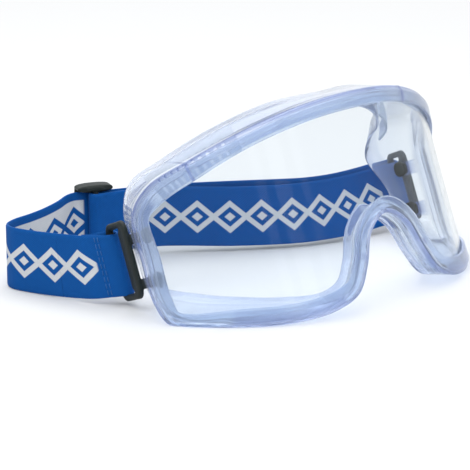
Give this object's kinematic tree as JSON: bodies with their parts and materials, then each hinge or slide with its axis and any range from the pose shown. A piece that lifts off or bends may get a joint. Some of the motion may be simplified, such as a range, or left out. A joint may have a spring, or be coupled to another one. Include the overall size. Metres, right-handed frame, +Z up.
{
  "type": "safety goggles",
  "caption": "Wrap-round clear lens in a soft leaned-back face frame, with swivel strap clips and an elastic head strap adjusted by a slider.",
  "frame": {"origin": "on the table plane, under the middle of the whole object's bounding box, strap included", "axes": "+X to the wearer's left, lens facing -Y, +Z up from the table; the frame leans back 21.6 degrees as it rests"},
  "size_m": [0.1858, 0.1348, 0.0794],
  "materials": {
    "frame_pvc": "translucent soft PVC, pale violet-blue",
    "lens_clear": "clear, smooth",
    "vent_plastic": "frosted translucent",
    "clip_nylon": "fine matt mould texture",
    "strap_webbing": "woven elastic, plain blue with a white woven pattern"
  },
  "bodies": {
    "frame": {"frame": "frame_pvc", "lens": "lens_clear", "right_vent_cover": "vent_plastic", "left_vent_cover": "vent_plastic"},
    "right_clip": {"right_clip": "clip_nylon", "right_strap_end": "strap_webbing"},
    "left_clip": {"left_clip": "clip_nylon", "left_strap_loop": "strap_webbing"},
    "strap": {"strap_band": "strap_webbing", "strap_return": "strap_webbing"},
    "slider": {"slider": "clip_nylon", "slider_strap_end": "strap_webbing"}
  },
  "joints": [
    {"name": "right_clip_swivel", "type": "hinge", "parent": "frame", "child": "right_clip", "pos_m": [-0.07409, -0.00438, 0.01974], "axis": [0, 0.3681, 0.9298], "range_deg": [0, 20]},
    {"name": "left_clip_swivel", "type": "hinge", "parent": "frame", "child": "left_clip", "pos_m": [0.08051, -0.00438, 0.01974], "axis": [0, -0.3681, -0.9298], "range_deg": [-20, 2]},
    {"name": "strap_tilt", "type": "hinge", "parent": "frame", "child": "strap", "pos_m": [0.00321, 0.00979, 0.01564], "axis": [1, 0, 0], "range_deg": [-15, 18]},
    {"name": "slider_travel", "type": "slide", "parent": "strap", "child": "slider", "axis": [0.9134, -0.4071, 0], "range_m": [0, 0.02], "deforming": ["strap_return"]}
  ]
}
